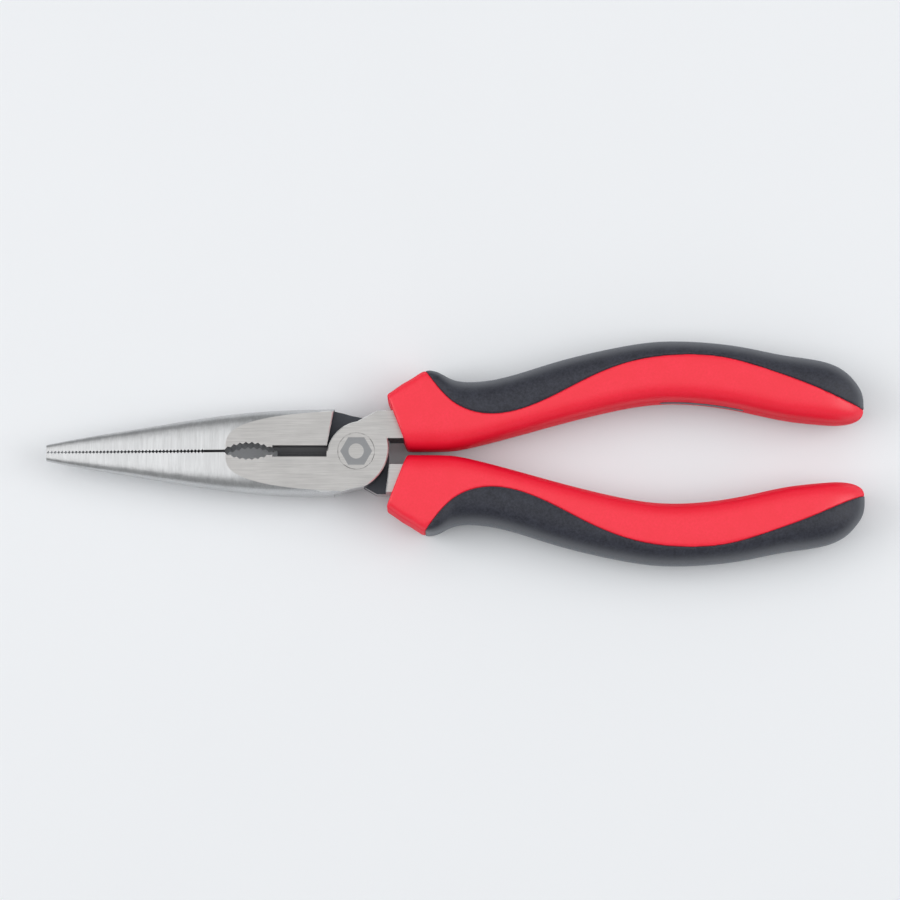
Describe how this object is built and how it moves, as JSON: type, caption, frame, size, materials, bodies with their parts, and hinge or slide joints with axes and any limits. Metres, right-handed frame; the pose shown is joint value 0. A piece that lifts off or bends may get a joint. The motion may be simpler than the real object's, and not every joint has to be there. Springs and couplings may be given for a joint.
{
  "type": "needle nose pliers",
  "caption": "Needle nose pliers with fine toothed tapering jaws, pipe grip, wire cutter, flush rivet pivot and curved two-colour moulded grips.",
  "frame": {"origin": "on the rivet's axis, in the plane of the head's rear ground face", "axes": "+X along the tool from the pivot towards the butts of the grips, so the jaw tips are on -X; +Y across the tool towards the grip of the front half; +Z out of the front ground face, parallel to the rivet"},
  "size_m": [0.2046, 0.0566, 0.016],
  "materials": {
    "forged_steel": "ground and satin polished outside, black oxide in the lap recesses",
    "rivet_steel": "ground flush with the head",
    "red_grip": "satin moulded",
    "black_grip": "matt, fine grain"
  },
  "bodies": {
    "rear_half": {"rear_plier_half": "forged_steel", "pivot_rivet": "rivet_steel", "lower_grip_body": "red_grip", "lower_grip_overmould": "black_grip", "lower_grip_inner_pad": "black_grip"},
    "front_half": {"front_plier_half": "forged_steel", "upper_grip_body": "red_grip", "upper_grip_overmould": "black_grip", "upper_grip_inner_pad": "black_grip"}
  },
  "joints": [
    {"name": "jaw_pivot", "type": "hinge", "parent": "rear_half", "child": "front_half", "pos_m": [0, 0, 0.0052], "axis": [0, 0, 1], "range_deg": [0, 48]}
  ]
}
